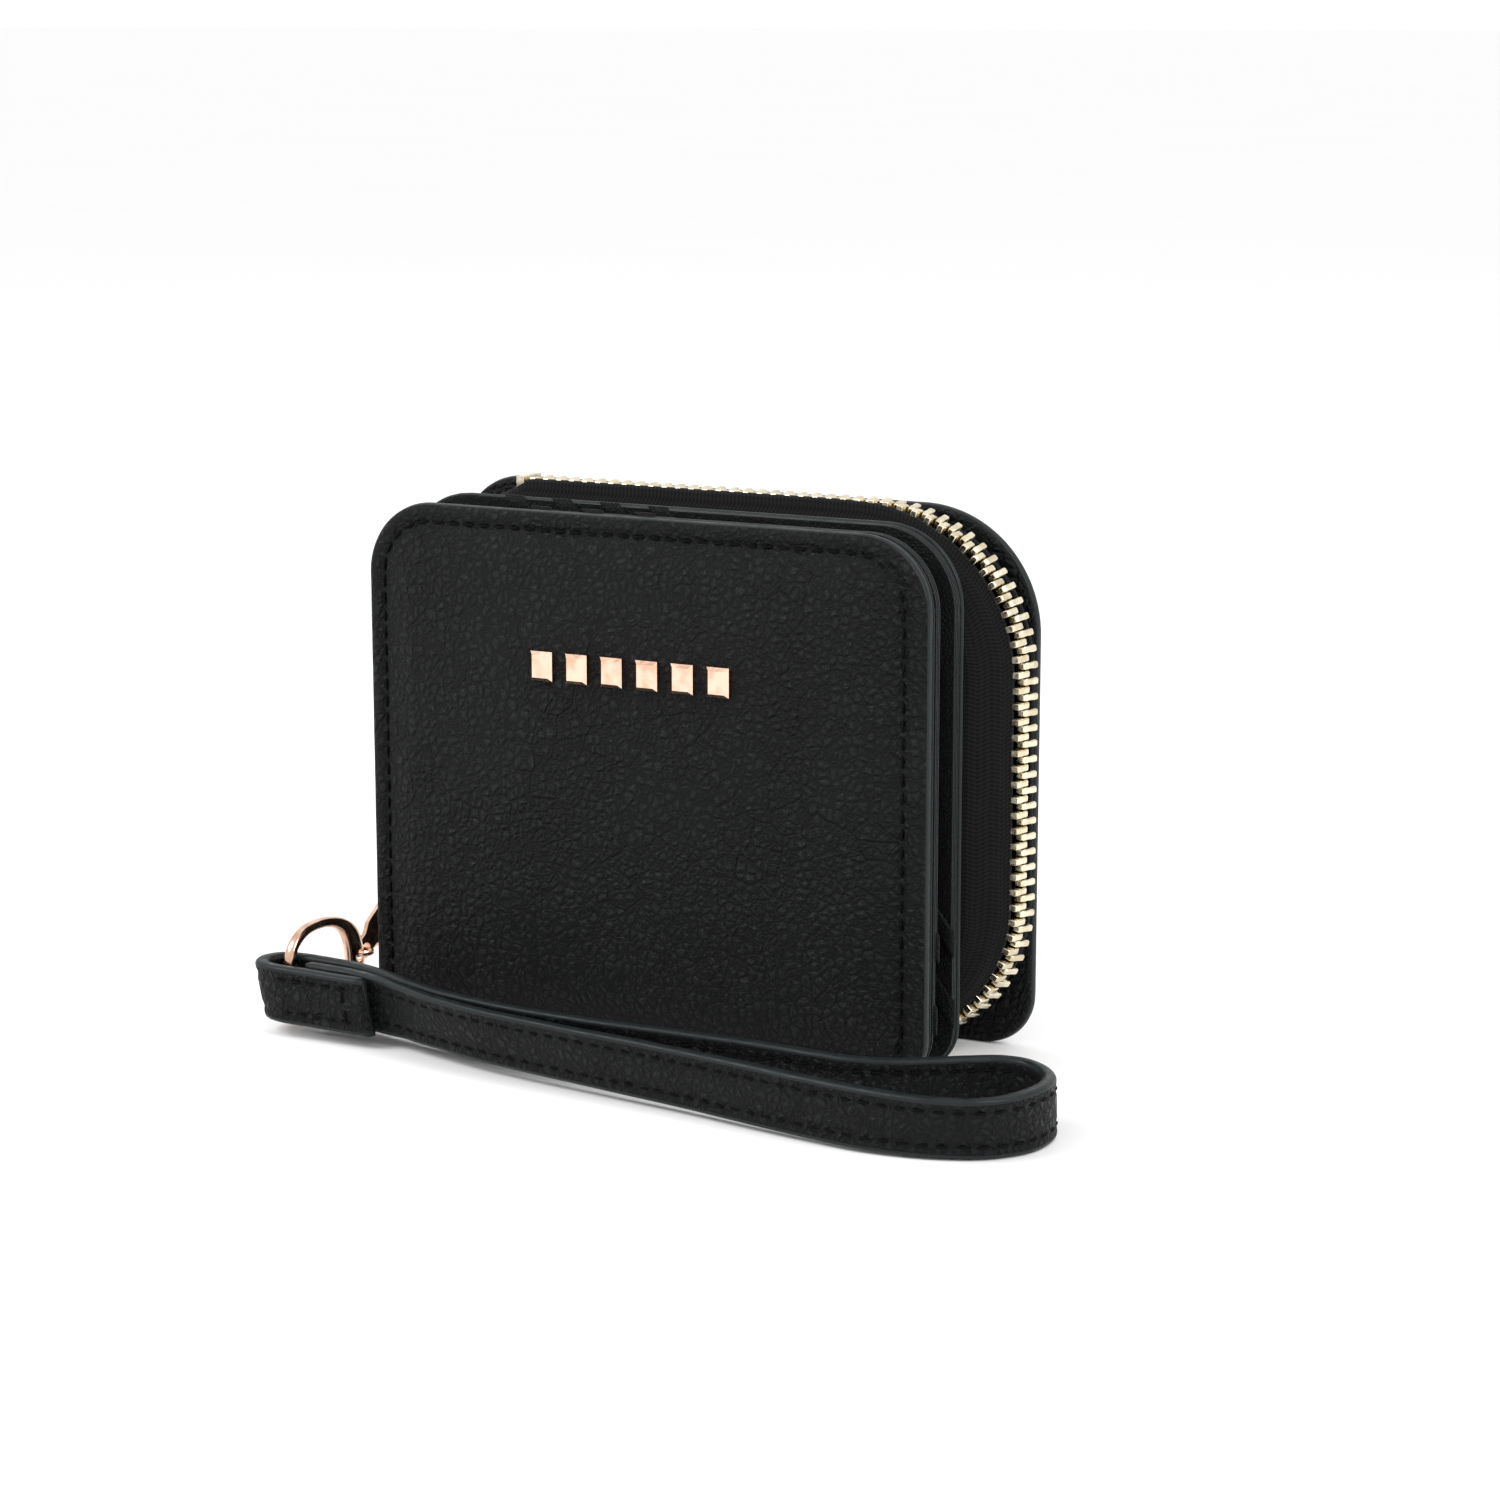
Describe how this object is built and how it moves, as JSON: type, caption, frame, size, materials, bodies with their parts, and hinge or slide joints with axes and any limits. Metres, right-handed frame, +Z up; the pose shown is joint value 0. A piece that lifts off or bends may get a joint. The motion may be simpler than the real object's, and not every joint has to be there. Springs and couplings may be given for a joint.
{
  "type": "zip around wallet",
  "caption": "Small black leather wallet: bifold card flap in front of a zip around coin compartment, with a clip-on wrist strap.",
  "frame": {"origin": "middle of the base of the whole wallet and its strap, on the surface it stands on", "axes": "+X along the flap from the spine to its free edge, +Y from the flap to the back, +Z up"},
  "size_m": [0.153, 0.071, 0.0968],
  "materials": {
    "pebbled_leather": "pebble grain, soft satin",
    "smooth_leather": "fine grain with painted edges",
    "lining_cloth": "woven lining",
    "foam": "soft foam",
    "board": "grey board",
    "zip_tape": "herringbone weave",
    "pale_gold": "polished pale gold plate",
    "rose_gold": "polished rose gold plate",
    "magnet_steel": "nickel plate"
  },
  "bodies": {
    "centre": {"centre_panel": "pebbled_leather", "centre_pocket_1": "smooth_leather", "centre_pocket_2": "smooth_leather", "centre_pocket_3": "smooth_leather", "centre_pocket_4": "smooth_leather", "front_lining": "lining_cloth", "centre_magnet": "magnet_steel", "front_zip_tape": "zip_tape", "front_zip_teeth": "pale_gold", "zip_tail_tape": "zip_tape", "zip_end_stop": "pale_gold", "spine_leather": "pebbled_leather", "flap_hinge": "pebbled_leather", "coin_pouch": "lining_cloth"},
    "flap": {"cover_leather": "pebbled_leather", "cover_padding": "foam", "cover_lining": "lining_cloth", "flap_magnet": "magnet_steel", "cover_pocket_1": "smooth_leather", "cover_pocket_2": "smooth_leather", "cover_pocket_3": "smooth_leather", "emblem_stud_1": "rose_gold", "emblem_stud_2": "rose_gold", "emblem_stud_3": "rose_gold", "emblem_stud_4": "rose_gold", "emblem_stud_5": "rose_gold", "emblem_stud_6": "rose_gold"},
    "back_shell": {"back_leather": "pebbled_leather", "back_board": "board", "back_lining": "lining_cloth", "rear_zip_tape": "zip_tape", "rear_zip_teeth": "pale_gold"},
    "slider": {"zip_slider": "rose_gold"},
    "lead": {"puller_ring": "rose_gold", "zip_puller": "rose_gold"},
    "clasp": {"clasp_link_ring": "rose_gold", "clasp_hook": "rose_gold", "clasp_gate_pin": "rose_gold"},
    "gate": {"clasp_gate": "rose_gold"},
    "strap": {"wrist_strap": "pebbled_leather"}
  },
  "joints": [
    {"name": "flap_open", "type": "hinge", "parent": "centre", "child": "flap", "pos_m": [-0.06607, 0.00955, 0.049], "axis": [0, 0, -1], "range_deg": [0, 170]},
    {"name": "back_open", "type": "hinge", "parent": "centre", "child": "back_shell", "pos_m": [-0.06507, 0.03335, 0.049], "axis": [0, 0, 1], "range_deg": [0, 80]},
    {"name": "slider_travel", "type": "slide", "parent": "centre", "child": "slider", "axis": [0, 0, 1], "range_m": [0, 0.008]},
    {"name": "lead_swing", "type": "hinge", "parent": "slider", "child": "lead", "pos_m": [-0.07137, 0.02505, 0.018], "axis": [0, 0, -1], "range_deg": [0, 170]},
    {"name": "clasp_turn", "type": "hinge", "parent": "lead", "child": "clasp", "pos_m": [-0.07268, 0.00785, 0.0085], "axis": [0, 0, -1], "range_deg": [0, 12]},
    {"name": "gate_open", "type": "hinge", "parent": "clasp", "child": "gate", "pos_m": [-0.07197, 0.00455, 0.0025], "axis": [-1, 0, 0], "range_deg": [0, 25], "stiffness_Nm_per_rad": 0.02},
    {"name": "strap_swing", "type": "hinge", "parent": "clasp", "child": "strap", "pos_m": [-0.07197, -0.01505, 0.0085], "axis": [0, 0, -1], "range_deg": [0, 45]}
  ],
  "couplings": [
    {"joint": "lead_swing", "follows": "flap_open", "ratio": 1}
  ]
}
